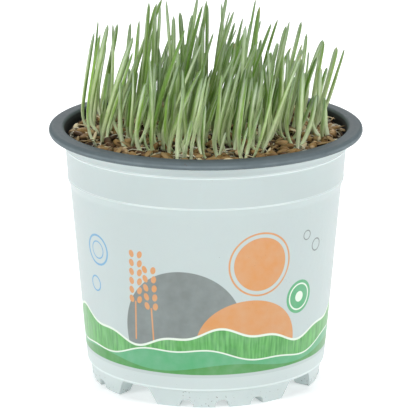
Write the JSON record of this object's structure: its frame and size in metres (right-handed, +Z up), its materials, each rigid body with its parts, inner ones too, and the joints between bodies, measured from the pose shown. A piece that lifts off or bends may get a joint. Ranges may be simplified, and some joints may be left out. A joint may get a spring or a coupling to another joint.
{
  "type": "potted wheatgrass",
  "caption": "Round white plant pot with a charcoal rim, filled with growing medium under a mat of sprouted kernels, from which young wheat grass stands up.",
  "frame": {"origin": "centre of the pot's foot, on the surface it stands on", "axes": "+Z up along the pot's axis; -Y towards the printed front; +X to the right of the front"},
  "size_m": [0.12, 0.12, 0.1478],
  "materials": {
    "pot_plastic": "satin",
    "medium": "matte",
    "kernels": "matte",
    "grass": "satin"
  },
  "bodies": {
    "root": {"pot": "pot_plastic", "growing_medium": "medium", "kernel_mat": "kernels", "grass_tuft_01": "grass", "grass_tuft_02": "grass", "grass_tuft_03": "grass", "grass_tuft_04": "grass", "grass_tuft_05": "grass", "grass_tuft_06": "grass", "grass_tuft_07": "grass", "grass_tuft_08": "grass", "grass_tuft_09": "grass", "grass_tuft_10": "grass", "grass_tuft_11": "grass", "grass_tuft_12": "grass", "grass_tuft_13": "grass", "grass_tuft_14": "grass", "grass_tuft_15": "grass", "grass_tuft_16": "grass", "grass_tuft_17": "grass", "grass_tuft_18": "grass", "grass_tuft_19": "grass", "grass_tuft_20": "grass", "grass_tuft_21": "grass", "grass_tuft_22": "grass", "grass_tuft_23": "grass", "grass_tuft_24": "grass", "grass_tuft_25": "grass", "grass_tuft_26": "grass", "grass_tuft_27": "grass", "grass_tuft_28": "grass", "grass_tuft_29": "grass", "grass_tuft_30": "grass", "grass_tuft_31": "grass", "grass_tuft_32": "grass", "grass_tuft_33": "grass", "grass_tuft_34": "grass", "grass_tuft_35": "grass", "grass_tuft_36": "grass", "grass_tuft_37": "grass", "grass_tuft_38": "grass", "grass_tuft_39": "grass", "grass_tuft_40": "grass", "grass_tuft_41": "grass", "grass_tuft_42": "grass", "grass_tuft_43": "grass", "grass_tuft_44": "grass", "grass_tuft_45": "grass", "grass_tuft_46": "grass", "grass_tuft_47": "grass", "grass_tuft_48": "grass", "grass_tuft_49": "grass", "grass_tuft_50": "grass", "grass_tuft_51": "grass", "grass_tuft_52": "grass"}
  },
  "joints": []
}
